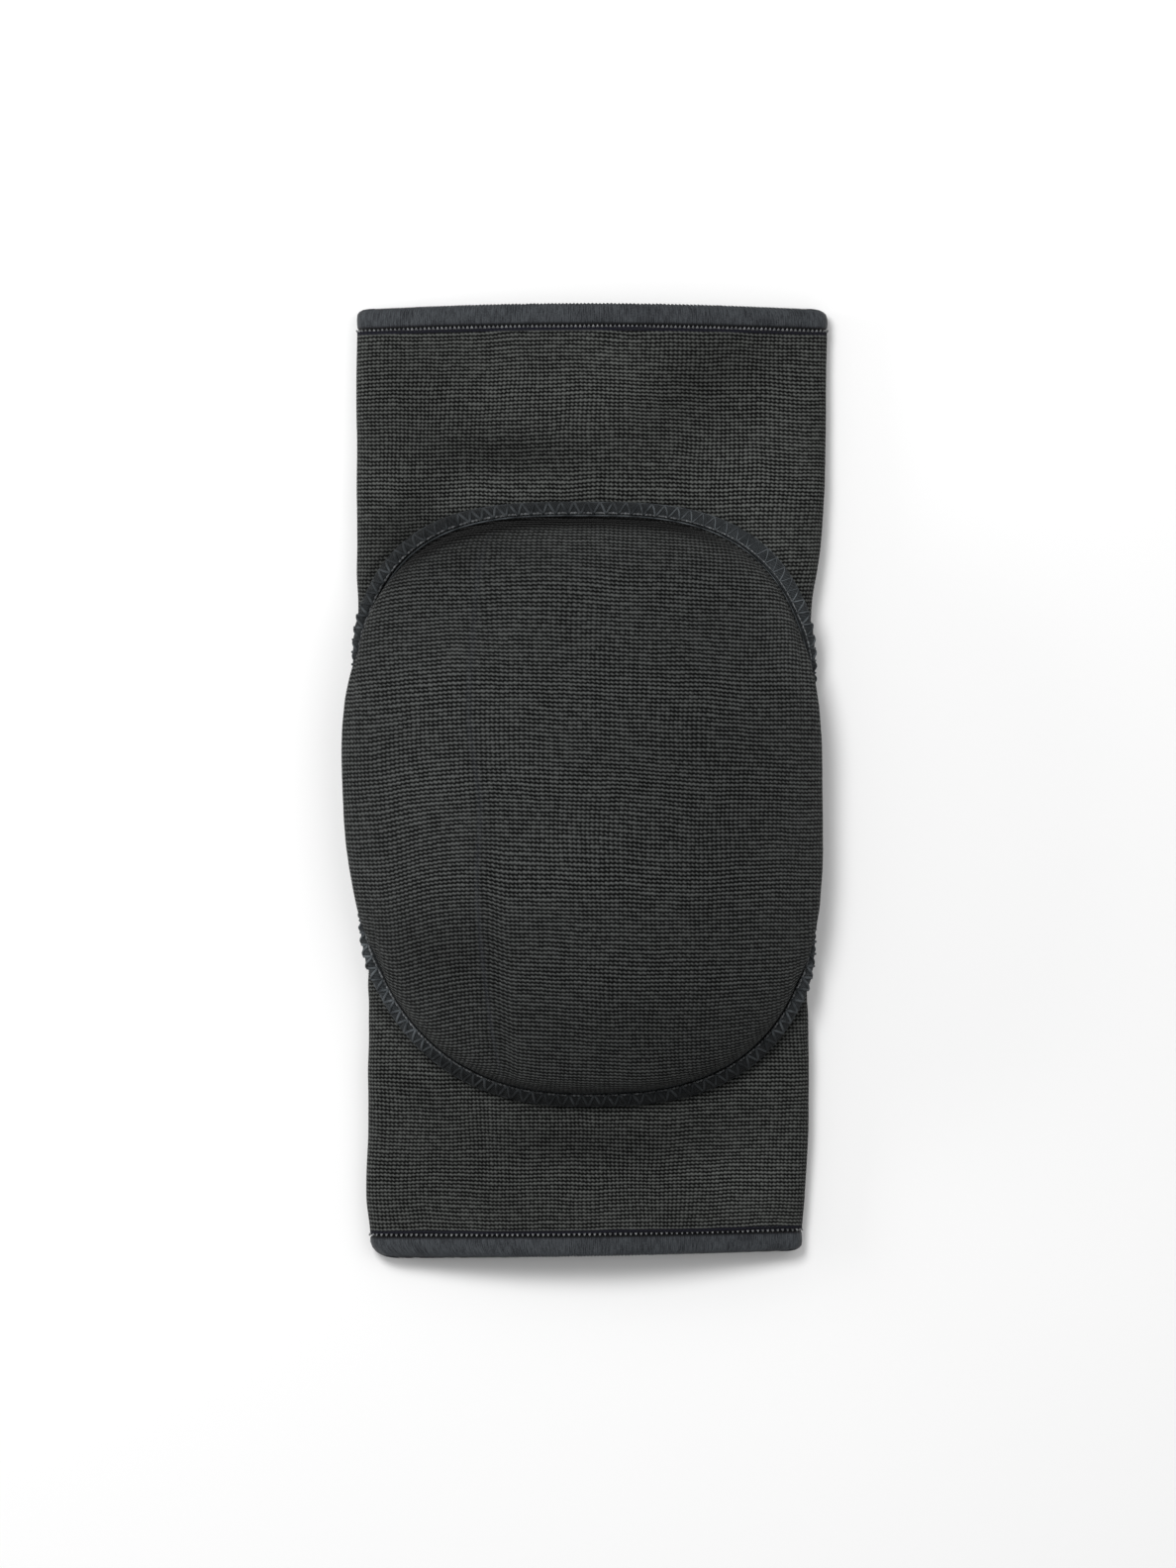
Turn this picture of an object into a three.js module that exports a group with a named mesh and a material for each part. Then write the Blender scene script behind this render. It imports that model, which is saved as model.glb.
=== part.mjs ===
// Volleyball knee pad, lying on its back: a knitted sleeve for the leg, a turned hem at each
// mouth, and on the front an oval foam pad under a knitted cover with an overlocked seam round it.
// Millimetres. +Y runs up the leg to the thigh, +Z away from the surface that it lies on.
import * as THREE from "three";

// Sleeve
const sleeveLength = 250;
const thighWidth = 123.6;
const calfWidth = 115.6;
const knitWall = 1.8;
const mouthOpening = 10;
const kneeOpening = 24.4;
const mouthBend = 1;
const kneeBend = 4.7;
const mouthBow = 1;
const calfSlant = 1.8;
const dentDepth = 1.2;

// Hems
const hemHeight = 5.8;
const hemFold = 0.9;
const hemRecess = 0.2;
const hemTurnIn = 4.5;
const hemEdge = 0.45;
const cornerRadius = 2.2;

// Pad, its cover and the seam round it
const padLength = 150.2;
const padLeftReach = 63.1;
const padRightReach = 64.1;
const padDrop = 6;
const foamThickness = 18;
const coverWall = 1.6;
const padOverhang = 1.6;
const creaseHeight = 0.8;
const creaseWidth = 3.2;
const seamWidth = 3.2;
const seamHeight = 2.4;

// Gaps between neighbours, and the looser fit of the foam
const clearance = 0.3;
const foamEase = 0.5;

// How round each mouth's corners lie, as shares of cornerRadius
const cornerShares = { thighLeft: 0.8, thighRight: 1.2, calfLeft: 2.5, calfRight: 1.0 };

// Outline and height of the sleeve. at is the share of the length from the calf end, left and
// right are shares of the half width, and height goes from 0 at a mouth to 1 at the knee.
const sleeveSections = [
  { at: 0.0, left: 0.975, right: 0.985, height: 0.0 },
  { at: 0.028, left: 0.974, right: 0.985, height: 0.01 },
  { at: 0.064, left: 0.988, right: 0.996, height: 0.06 },
  { at: 0.128, left: 0.976, right: 1.007, height: 0.22 },
  { at: 0.208, left: 0.968, right: 1.004, height: 0.5 },
  { at: 0.292, left: 0.96, right: 0.988, height: 0.77 },
  { at: 0.38, left: 0.956, right: 0.974, height: 0.94 },
  { at: 0.5, left: 0.956, right: 0.96, height: 1.0 },
  { at: 0.6, left: 0.966, right: 0.965, height: 0.97 },
  { at: 0.686, left: 0.984, right: 0.985, height: 0.84 },
  { at: 0.748, left: 0.984, right: 1.018, height: 0.66 },
  { at: 0.832, left: 0.979, right: 1.032, height: 0.36 },
  { at: 0.916, left: 0.976, right: 1.031, height: 0.12 },
  { at: 0.972, left: 0.968, right: 1.032, height: 0.02 },
  { at: 1.0, left: 0.965, right: 1.028, height: 0.0 },
];

// Shallow dents in the front. across is a share of the half width, along and the two sizes are
// shares of the half length, and a depth under 0 is a swelling.
const frontDents = [
  { across: -0.55, along: 0.6, length: 0.2, breadth: 0.066, turn: 32, depth: 1.0 },
  { across: 0.72, along: 0.735, length: 0.15, breadth: 0.1, turn: 18, depth: 0.7 },
  { across: 0.28, along: 0.84, length: 0.14, breadth: 0.1, turn: 80, depth: -0.45 },
  { across: -0.15, along: -0.79, length: 0.34, breadth: 0.068, turn: 0, depth: 0.7 },
];

// Roundness of the oval in each quarter, and of the dome over its ends and sides
const ovalPower = { thighLeft: 3.2, thighRight: 2.9, calfLeft: 2.3, calfRight: 2.7 };
const domePower = { thigh: 1.95, side: 2.15, calf: 2.35 };

// How far the dome's sides lean out over the seam towards each end, and its calf end over the
// seam there, as shares of padOverhang. Under 0 a side draws in.
const overhangShares = { thighLeft: 4.1, thighRight: 0.0, calfLeft: -2.6, calfRight: -1.6, calf: 1.0 };

// Where the overhang starts and is fullest, as shares of the way from rim to crown
const overhangStart = 0.04;
const overhangFull = 0.28;

// The crease: its column, how far the columns bow so that it runs straight, and its strength
// towards the thigh and towards the calf
const crease = { column: -0.2, bow: 0.21, thigh: 0.35, calf: 1.0 };

// Facets
const crownFacets = 10;
const foldFacets = 6;
const backFacets = 2;
const endStations = 10;
const kneeStations = 10;
const padColumns = 20;
const padRows = 20;
const seamSteps = 84;
const seamArchSteps = 5;

const halfLength = sleeveLength / 2;
const mouthRadius = mouthBend + hemFold + clearance + knitWall;
const kneeRadius = kneeBend + knitWall;
const sleeveEnd = halfLength - hemHeight - clearance;
const padHeight = foamThickness + foamEase + coverWall;

function smooth(low, high, value) {
  const share = THREE.MathUtils.clamp((value - low) / (high - low), 0, 1);
  return share * share * (3 - 2 * share);
}

function curveThrough(rows, column) {
  return (at) => {
    let last = 1;
    while (last < rows.length - 1 && rows[last].at < at) last += 1;
    const [before, from, to, after] = [last - 2, last - 1, last, last + 1]
      .map((index) => rows[THREE.MathUtils.clamp(index, 0, rows.length - 1)]);
    const span = to.at - from.at;
    const share = (at - from.at) / span;
    const leave = (span * (to[column] - before[column])) / (to.at - before.at);
    const arrive = (span * (after[column] - from[column])) / (after.at - from.at);
    return from[column] * (1 - share) ** 2 * (1 + 2 * share)
      + to[column] * share ** 2 * (3 - 2 * share)
      + leave * share * (1 - share) ** 2
      - arrive * share ** 2 * (1 - share);
  };
}

const leftShare = curveThrough(sleeveSections, "left");
const rightShare = curveThrough(sleeveSections, "right");
const heightShare = curveThrough(sleeveSections, "height");

function cornerInset(radius, along) {
  const inside = Math.max(0, radius - (halfLength - Math.abs(along)));
  return radius - Math.sqrt(radius ** 2 - Math.min(inside, radius) ** 2);
}

// The cross-section at a place along the leg: a flat back, two round folds and an arched front.
// side is -1 for the left half and 1 for the right.
function sectionAt(along, side) {
  const at = along / sleeveLength + 0.5;
  const middle = THREE.MathUtils.lerp(calfWidth, thighWidth, at) / 2;
  const height = heightShare(at);
  const radius = THREE.MathUtils.lerp(mouthRadius, kneeRadius, height);
  const mouthRise = mouthOpening - 2 * mouthBend;
  const rise = THREE.MathUtils.lerp(mouthRise, kneeOpening - 2 * kneeBend, height);
  const end = along < 0 ? "calf" : "thigh";
  const corner = cornerRadius * cornerShares[end + (side < 0 ? "Left" : "Right")];
  const share = side < 0 ? leftShare(at) : rightShare(at);
  const reach = middle * share - cornerInset(corner, along) - radius;
  const slope = (rise * Math.PI) / (2 * reach);
  const crown = reach * (1 + slope ** 2 / 4) + radius * Math.atan(slope);
  const fold = radius * (Math.PI - Math.atan(slope));
  return { radius, rise, reach, slope, crown, fold };
}

function dentAt(across, along) {
  return frontDents.reduce((sum, dent) => {
    const turn = THREE.MathUtils.degToRad(dent.turn);
    const x = across * thighWidth / 2 - dent.across * thighWidth / 2;
    const y = along - dent.along * halfLength;
    const lengthwise = (x * Math.cos(turn) + y * Math.sin(turn)) / (dent.length * halfLength);
    const breadthwise = (y * Math.cos(turn) - x * Math.sin(turn)) / (dent.breadth * halfLength);
    return sum + dent.depth * dentDepth * Math.exp(-(lengthwise ** 2) - breadthwise ** 2);
  }, 0);
}

// The mouths aren't cut straight: the thigh's bows out and the calf's slants.
function mouthShift(across, along) {
  const near = (along / halfLength) ** 6;
  return along > 0 ? -near * mouthBow * across ** 2 : near * calfSlant * (1 + across) / 2;
}

// A point on the sleeve's outside, or lifted off it. turn goes down one side, from 0 at the
// middle of the front through 1 at the fold's start and 2 at its end to 3 at the middle of
// the back.
function sleevePoint(side, turn, along, lift) {
  const { radius, rise, reach, slope } = sectionAt(along, side);
  const over = Math.min(turn, 1);
  const across = Math.min(over, 3 - turn);
  const edgeLean = Math.atan(slope);
  const lean = turn <= 1
    ? Math.atan(slope * Math.sin((over * Math.PI) / 2))
    : THREE.MathUtils.lerp(edgeLean, Math.PI, Math.min(turn - 1, 1));
  const front = Math.cos((over * Math.PI) / 2);
  const x = reach * across + (radius + lift) * Math.sin(lean);
  const z = radius + rise * front + (radius + lift) * Math.cos(lean);
  const dent = front * dentAt(side * across, along);
  return new THREE.Vector3(side * x, along + mouthShift(side * across, along), z - dent);
}

// The same point by its distance round the front from the middle line
function girthPoint(girth, along, lift) {
  const side = girth < 0 ? -1 : 1;
  const { crown, fold } = sectionAt(along, side);
  const past = Math.abs(girth) - crown;
  const turn = past <= 0 ? Math.abs(girth) / crown : 1 + past / fold;
  return sleevePoint(side, turn, along, lift);
}

function ringTurns() {
  const turns = [];
  for (let i = 0; i < crownFacets; i += 1) turns.push(i / crownFacets);
  for (let i = 0; i < foldFacets; i += 1) turns.push(1 + i / foldFacets);
  for (let i = 0; i < backFacets; i += 1) turns.push(2 + i / backFacets);
  const right = turns.map((turn) => ({ side: 1, turn }));
  const left = turns.slice(1).map((turn) => ({ side: -1, turn }));
  return [...right, { side: 1, turn: 3 }, ...left.reverse()];
}

function solid(points, triangles) {
  const geometry = new THREE.BufferGeometry();
  geometry.setAttribute("position", new THREE.Float32BufferAttribute(points.flat(), 3));
  geometry.setIndex(triangles.flat());
  geometry.computeVertexNormals();
  return geometry;
}

// A ring-shaped solid: rings of as many points each, the last joined to the first
function ringSolid(rings) {
  const size = rings[0].length;
  const points = rings.flat().map((point) => point.toArray());
  const triangles = [];
  rings.forEach((ring, i) => {
    const next = ((i + 1) % rings.length) * size;
    ring.forEach((point, j) => {
      const across = (j + 1) % size;
      const [a, b, c, d] = [i * size + j, next + j, next + across, i * size + across];
      triangles.push([a, c, b], [a, d, c]);
    });
  });
  return solid(points, triangles);
}

// A closed profile of lifts off the sleeve and places along it, carried round the leg
function roundTheLeg(profile) {
  const turns = ringTurns();
  return ringSolid(profile.map(({ along, lift }) => (
    turns.map(({ side, turn }) => sleevePoint(side, turn, along, lift)))));
}

// Stations from the calf end to the thigh end, closer together outside the pad
function sleeveStations() {
  const kneeEnd = padLength * 0.4;
  const stations = [];
  for (let i = 0; i < endStations; i += 1) {
    stations.push(THREE.MathUtils.lerp(-sleeveEnd, -kneeEnd, i / endStations));
  }
  for (let i = 0; i < kneeStations; i += 1) {
    stations.push(THREE.MathUtils.lerp(-kneeEnd, kneeEnd, i / kneeStations));
  }
  for (let i = 0; i <= endStations; i += 1) {
    stations.push(THREE.MathUtils.lerp(kneeEnd, sleeveEnd, i / endStations));
  }
  return stations;
}

function kneeSleeve() {
  const stations = sleeveStations();
  const outside = stations.map((along) => ({ along, lift: 0 }));
  const inside = stations.map((along) => ({ along, lift: -knitWall }));
  return roundTheLeg([...outside, ...inside.reverse()]);
}

// A hem is the knit's finer end, turned in at the mouth and caught inside the sleeve.
function hem(end) {
  const outer = -hemRecess;
  const inner = -knitWall - clearance - hemFold;
  const edge = inner + hemFold;
  const butt = halfLength - hemHeight;
  const profile = [
    { along: butt, lift: outer },
    { along: halfLength - hemEdge, lift: outer },
    { along: halfLength, lift: outer - hemEdge },
    { along: halfLength, lift: edge + hemEdge },
    { along: halfLength - hemEdge, lift: edge },
    { along: butt + hemFold, lift: inner },
    { along: butt - hemTurnIn, lift: inner },
    { along: butt - hemTurnIn, lift: inner + hemFold },
    { along: butt, lift: inner + hemFold },
  ];
  if (end > 0) return roundTheLeg(profile);
  return roundTheLeg(profile.map(({ along, lift }) => ({ along: -along, lift })).reverse());
}

function quarter(x, y) {
  return (y < 0 ? "calf" : "thigh") + (x < 0 ? "Left" : "Right");
}

// The oval's rim in a direction, as a share of its half sizes
function ovalRim(x, y) {
  const power = ovalPower[quarter(x, y)];
  return (Math.abs(x) ** power + Math.abs(y) ** power) ** (-1 / power);
}

function padReach(x) {
  return x < 0 ? padLeftReach : padRightReach;
}

function overhangAt(x, y, climb) {
  const hand = x < 0 ? "Left" : "Right";
  const [low, high] = [overhangShares["calf" + hand], overhangShares["thigh" + hand]];
  const side = THREE.MathUtils.lerp(low, high, (1 + y) / 2);
  const end = y < 0 ? overhangShares.calf : 0;
  const lean = smooth(overhangStart, overhangFull, climb) * (1 - smooth(overhangFull, 1, climb));
  return { x: padOverhang * side * x * lean, y: padOverhang * end * y * lean };
}

// A point on a dome over the oval. across and up are its place in a unit disc, inset is how far
// the dome lies inside the cover's outside.
function domePoint(across, up, inset) {
  const share = Math.min(Math.hypot(across, up), 1);
  const [x, y] = share > 0 ? [across / share, up / share] : [1, 0];
  const endPower = y < 0 ? domePower.calf : domePower.thigh;
  const power = THREE.MathUtils.lerp(domePower.side, endPower, y ** 2);
  const climb = 1 - share;
  const spread = ovalRim(x, y) * Math.cos((climb * Math.PI) / 2) ** (2 / power);
  const rise = Math.sin((climb * Math.PI) / 2) ** (2 / power);
  const girth = x * spread * (padReach(x) - inset);
  const along = y * spread * (padLength / 2 - inset) - padDrop;
  const overhang = overhangAt(x, y, climb);
  return { girth, along, lift: rise * (padHeight - inset), overhang };
}

// Columns and rows of the pad's faces. The columns are closer together at the crease.
function padGrid() {
  const half = (creaseWidth / 2) / padLeftReach;
  const columns = [];
  const leftColumns = Math.round((padColumns * (1 + crease.column)) / 2);
  const rightColumns = padColumns - leftColumns;
  for (let i = 0; i <= leftColumns; i += 1) {
    columns.push(THREE.MathUtils.lerp(-1, crease.column - half, i / leftColumns));
  }
  columns.push(crease.column);
  for (let i = 0; i <= rightColumns; i += 1) {
    columns.push(THREE.MathUtils.lerp(crease.column + half, 1, i / rightColumns));
  }
  const rows = Array.from({ length: padRows + 1 }, (_, i) => (2 * i) / padRows - 1);
  return { columns, rows };
}

function creaseLift(column, row) {
  if (column !== crease.column) return 0;
  const strength = THREE.MathUtils.lerp(crease.calf, crease.thigh, smooth(-0.5, 0.5, row));
  return creaseHeight * strength * (1 - smooth(0.75, 1, Math.abs(row)));
}

// A face over the whole pad, as a list of points, one for each column and row
function padFace(inset, place) {
  const { columns, rows } = padGrid();
  return rows.flatMap((row) => columns.map((column) => {
    const bowed = column - crease.bow * row ** 2 * (1 - column ** 2);
    const across = bowed * Math.sqrt(1 - row ** 2 / 2);
    const up = row * Math.sqrt(1 - bowed ** 2 / 2);
    return place(domePoint(across, up, inset), column, row);
  }));
}

function coverFace(inset) {
  return padFace(inset, ({ girth, along, lift, overhang }, column, row) => {
    const point = girthPoint(girth, along, lift + clearance + creaseLift(column, row));
    return point.add(new THREE.Vector3(overhang.x, overhang.y, 0));
  });
}

function foamFace(inset) {
  return padFace(inset, ({ girth, along, lift, overhang }) => {
    const point = girthPoint(girth, along, lift + foamEase);
    return point.add(new THREE.Vector3(overhang.x, overhang.y, 0));
  });
}

function foamBase(inset) {
  return padFace(inset, ({ girth, along }) => girthPoint(girth, along, foamEase));
}

// Two faces joined along their rims. Where sharedRim is set the rims are the same points.
function padSolid(top, base, sharedRim) {
  const { columns, rows } = padGrid();
  const wide = columns.length;
  const tall = rows.length;
  const offset = top.length;
  const onRim = (i) => i % wide === 0 || i % wide === wide - 1
    || i < wide || i >= wide * (tall - 1);
  const baseIndex = (i) => (sharedRim && onRim(i) ? i : i + offset);
  const triangles = [];
  for (let row = 0; row < tall - 1; row += 1) {
    for (let column = 0; column < wide - 1; column += 1) {
      const a = row * wide + column;
      const [b, c, d] = [a + 1, a + wide + 1, a + wide];
      const rising = (row + 0.5 - tall / 2) * (column + 0.5 - wide / 2) > 0;
      const faces = rising ? [[a, b, c], [a, c, d]] : [[a, b, d], [b, c, d]];
      triangles.push(...faces);
      triangles.push(...faces.map(([p, q, r]) => [baseIndex(p), baseIndex(r), baseIndex(q)]));
    }
  }
  if (!sharedRim) triangles.push(...rimWall(wide, tall, offset));
  return solid([...top, ...base].map((point) => point.toArray()), triangles);
}

function rimWall(wide, tall, offset) {
  const last = wide * (tall - 1);
  const loop = [
    ...Array.from({ length: wide - 1 }, (_, i) => i),
    ...Array.from({ length: tall - 1 }, (_, i) => i * wide + wide - 1),
    ...Array.from({ length: wide - 1 }, (_, i) => last + wide - 1 - i),
    ...Array.from({ length: tall - 1 }, (_, i) => last - i * wide),
  ];
  return loop.flatMap((from, i) => {
    const to = loop[(i + 1) % loop.length];
    return [[from, from + offset, to + offset], [from, to + offset, to]];
  });
}

function padCover() {
  return padSolid(coverFace(0), coverFace(coverWall), false);
}

function foamPad() {
  const inset = coverWall + foamEase;
  return padSolid(foamFace(inset), foamBase(inset), true);
}

// The seam is a rounded ridge just outside the cover's rim.
function padSeam() {
  const outward = clearance + seamWidth / 2;
  const arch = Array.from({ length: seamArchSteps + 1 }, (_, i) => {
    const angle = (Math.PI * i) / seamArchSteps;
    return { out: (-seamWidth / 2) * Math.cos(angle), lift: seamHeight * Math.sin(angle) };
  });
  const profile = [...arch, { out: 0, lift: 0 }];
  const rings = Array.from({ length: seamSteps }, (_, step) => {
    const angle = (2 * Math.PI * step) / seamSteps;
    const [x, y] = [Math.cos(angle), Math.sin(angle)];
    const rim = ovalRim(x, y);
    return profile.map(({ out, lift }) => {
      const girth = x * rim * (padReach(x) + outward + out);
      const along = y * rim * (padLength / 2 + outward + out) - padDrop;
      return girthPoint(girth, along, lift + clearance);
    });
  });
  return ringSolid(rings);
}

const knitMaterial = new THREE.MeshStandardMaterial({ color: 0x383937, roughness: 0.95 });
const coverMaterial = new THREE.MeshStandardMaterial({ color: 0x323434, roughness: 0.95 });
const hemMaterial = new THREE.MeshStandardMaterial({ color: 0x46494c, roughness: 0.9 });
const threadMaterial = new THREE.MeshStandardMaterial({ color: 0x222427, roughness: 0.8 });
const foamMaterial = new THREE.MeshStandardMaterial({ color: 0x8b8b88, roughness: 1 });

function named(name, geometry, material) {
  const mesh = new THREE.Mesh(geometry, material.clone());
  mesh.material.metalness = 0;
  mesh.name = name;
  return mesh;
}

const kneePad = new THREE.Group();
kneePad.add(
  named("knee_sleeve", kneeSleeve(), knitMaterial),
  named("thigh_hem", hem(1), hemMaterial),
  named("calf_hem", hem(-1), hemMaterial),
  named("foam_pad", foamPad(), foamMaterial),
  named("pad_cover", padCover(), coverMaterial),
  named("pad_seam", padSeam(), threadMaterial),
);

const bounds = new THREE.Box3().setFromObject(kneePad);
const centre = bounds.getCenter(new THREE.Vector3());
kneePad.position.set(-centre.x, -centre.y, -bounds.min.z);
kneePad.updateMatrixWorld(true);

export default kneePad;
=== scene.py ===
import math
from bisect import bisect_left
from functools import lru_cache

import bmesh
import bpy
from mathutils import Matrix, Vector, noise


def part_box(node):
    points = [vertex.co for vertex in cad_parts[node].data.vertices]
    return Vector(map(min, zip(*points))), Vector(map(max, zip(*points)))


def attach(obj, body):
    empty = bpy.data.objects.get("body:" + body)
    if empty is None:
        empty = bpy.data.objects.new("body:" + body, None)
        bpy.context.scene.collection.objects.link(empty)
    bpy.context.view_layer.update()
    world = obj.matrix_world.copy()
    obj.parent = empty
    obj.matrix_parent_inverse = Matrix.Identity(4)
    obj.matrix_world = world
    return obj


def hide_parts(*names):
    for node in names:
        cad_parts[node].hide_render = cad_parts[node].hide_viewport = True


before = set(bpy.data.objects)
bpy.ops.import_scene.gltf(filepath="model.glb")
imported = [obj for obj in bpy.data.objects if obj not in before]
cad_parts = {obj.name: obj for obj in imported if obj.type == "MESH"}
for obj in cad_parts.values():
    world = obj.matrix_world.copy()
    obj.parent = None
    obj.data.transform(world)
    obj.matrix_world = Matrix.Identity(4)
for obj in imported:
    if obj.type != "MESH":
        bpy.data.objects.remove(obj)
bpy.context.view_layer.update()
scene = bpy.context.scene
mm = 0.001  # the dictionaries are in millimetres, the scene is in metres
touching = 1e-6  # vertices this near in metres are one vertex

# Camera, floor and light

view = {
    "height": 1800, "lens": 157, "right": 0.9, "up": -0.65,
    "world": 0.36, "floorSize": 3000,
    "lights": {
        # where each soft light stands, its size, and its power in watts
        "key": {"at": (-340, 480, 1180), "size": 460, "power": 11.5},
        "fill": {"at": (600, 200, 1200), "size": 900, "power": 3.6},
        "rim": {"at": (-1100, 100, 260), "size": 500, "power": 5.0},
    },
}

camera = bpy.data.objects.new("camera", bpy.data.cameras.new("camera"))
camera.data.lens = view["lens"]
camera.location = Vector((view["right"], view["up"], view["height"])) * mm
scene.collection.objects.link(camera)
scene.camera = camera
scene.view_settings.view_transform = "Standard"

for name, light in view["lights"].items():
    lamp = bpy.data.lights.new(name, "AREA")
    lamp.energy = light["power"]
    lamp.size = light["size"] * mm
    holder = bpy.data.objects.new(name, lamp)
    holder.location = Vector(light["at"]) * mm
    holder.rotation_euler = holder.location.to_track_quat("Z", "Y").to_euler()
    scene.collection.objects.link(holder)

world = bpy.data.worlds.new("studio")
world.use_nodes = True
world.node_tree.nodes["Background"].inputs["Color"].default_value = (*[view["world"]] * 3, 1)
scene.world = world


# Shader maths

class Wire:
    # wraps one socket, so that a pattern reads as sums and products
    def __init__(self, tree, socket=None):
        self.tree = tree
        self.socket = socket

    def node(self, kind, settings, inputs, out=0):
        made = self.tree.nodes.new(kind)
        for name, value in settings.items():
            setattr(made, name, value)
        for name, value in inputs.items():
            if isinstance(value, Wire):
                self.tree.links.new(value.socket, made.inputs[name])
            else:
                made.inputs[name].default_value = value
        return Wire(self.tree, made.outputs[out])

    def math(self, operation, *values):
        return self.node("ShaderNodeMath", {"operation": operation}, dict(enumerate(values)))

    def __add__(self, other):
        return self.math("ADD", self, other)

    def __sub__(self, other):
        return self.math("SUBTRACT", self, other)

    def __rsub__(self, other):
        return self.math("SUBTRACT", other, self)

    def __mul__(self, other):
        return self.math("MULTIPLY", self, other)

    def __truediv__(self, other):
        return self.math("DIVIDE", self, other)

    def floor(self):
        return self.math("FLOOR", self)

    def wave(self):
        # 1 at every whole number, -1 half way between
        return self.math("COSINE", self * (2 * math.pi))

    def between(self, low, high):
        return self.node("ShaderNodeMapRange", {"interpolation_type": "SMOOTHSTEP"},
                         {"Value": self, "From Min": low, "From Max": high})

    def size(self):
        return self.math("ABSOLUTE", self)

    def vector(self, operation, other):
        return self.node("ShaderNodeVectorMath", {"operation": operation}, {0: self, 1: other})

    def scaled(self, factor):
        return self.node("ShaderNodeVectorMath", {"operation": "SCALE"}, {0: self, "Scale": factor})

    def part(self, axis):
        return self.node("ShaderNodeSeparateXYZ", {}, {0: self}, axis)

    def joined(self, other):
        return self.node("ShaderNodeCombineXYZ", {}, {0: self, 1: other})

    def mix(self, first, second):
        return self.node("ShaderNodeMix", {"data_type": "RGBA"}, {0: self, 6: first, 7: second}, 2)

    def attribute(self, name):
        return self.node("ShaderNodeAttribute", {"attribute_name": name}, {}, 2)

    def noise(self, length, detail=2.0, out=0):
        return self.node("ShaderNodeTexNoise", {}, {"Vector": self, "Scale": 1 / length,
                                                    "Detail": detail}, out)


def startMaterial(name, settings):
    material = bpy.data.materials.new(name)
    material.use_nodes = True
    shader = material.node_tree.nodes["Principled BSDF"]
    for socket, value in settings.items():
        shader.inputs[socket].default_value = value
    return material, Wire(material.node_tree)


def finishMaterial(material, colour, height, depth):
    tree = material.node_tree
    shader = tree.nodes["Principled BSDF"]
    bump = Wire(tree).node("ShaderNodeBump", {}, {"Height": height, "Distance": depth * mm})
    tree.links.new(colour.socket, shader.inputs["Base Color"])
    tree.links.new(bump.socket, shader.inputs["Normal"])
    return material


def surfacePlace(wire):
    # the place on the cloth in millimetres, round the leg and along it
    return wire.node("ShaderNodeUVMap", {"uv_map": "weave"}, {}).scaled(1 / mm)


knitLook = {
    # what the knits of the sleeve and of the cover share: lengths are in millimetres
    "roughness": 0.9, "gloss": 0.04, "sheen": 0.03, "sheenRoughness": 0.5,
    "driftLength": 24, "jitter": 0.45, "jitterLength": 4.5, "sway": 0.09,
    "course": 0.52, "crown": 0.14, "openLength": 26, "pair": 0.085, "pairLength": 31,
    "fibreLength": 0.3, "fibreTone": 0.4, "fibreHeight": 0.3, "chance": 0.36,
    "contrast": (-0.55, 0.85), "patch": 0.3, "patchLength": 38, "depth": 0.3,
}


def knitMaterial(name, ownLook):
    # courses of loops in columns: painted light on each loop's crown and painted shade in the hole
    # beside it, drawn from the same height as the bump
    look = {**knitLook, **ownLook}
    material, wire = startMaterial(name, {
        "Roughness": look["roughness"], "Specular IOR Level": look["gloss"],
        "Sheen Weight": look["sheen"], "Sheen Roughness": look["sheenRoughness"],
    })
    place = surfacePlace(wire)
    middle = (0.5, 0.5, 0.5)
    slow = place.noise(look["driftLength"], 1.0, 1).vector("SUBTRACT", middle).scaled(look["drift"])
    quick = place.noise(look["jitterLength"], 1.0, 1).vector("SUBTRACT", middle).scaled(look["jitter"])
    drifted = place.vector("ADD", slow).vector("ADD", quick)
    column = drifted.part(0) / look["column"]
    row = drifted.part(1) / look["row"]
    course = (row + (column - 0.25).wave() * look["sway"]).wave()
    loop = column.wave()
    pair = (row * 0.5).wave() * place.noise(look["pairLength"], 1.0) * 2
    cell = (column + 0.5).floor().joined((row + 0.5).floor())
    chance = wire.node("ShaderNodeTexWhiteNoise", {"noise_dimensions": "2D"}, {"Vector": cell})
    gap = place.noise(look["openLength"], 1.0) * look["open"]
    height = course * look["course"] + loop * (course * look["crown"] + gap) + pair * look["pair"]
    fibre = place.noise(look["fibreLength"], 1.0) - 0.5
    uneven = height + (chance - 0.5) * look["chance"] + fibre * look["fibreTone"]
    light = uneven.between(*look["contrast"])
    patch = (place.noise(look["patchLength"], 3.0) - 0.5) * look["patch"] + 1
    tone = light.mix(look["hole"], look["yarn"]).scaled(patch * (1 - wire.attribute("shade")))
    # painted shadow in a band along the sleeve's mouth, under the row of loops
    if "mouth" in look:
        tone = place.part(1).size().between(*look["mouth"]).mix(tone, look["shadow"])
    # painted shade in a darker line beside the crease
    if "crease" in look:
        tone = wire.attribute("crease").mix(tone, look["crease"])
    return finishMaterial(material, tone, height + fibre * look["fibreHeight"], look["depth"])


print("camera, floor and light are set")

# Form of the sleeve, from the same sizes as the CAD source

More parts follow.
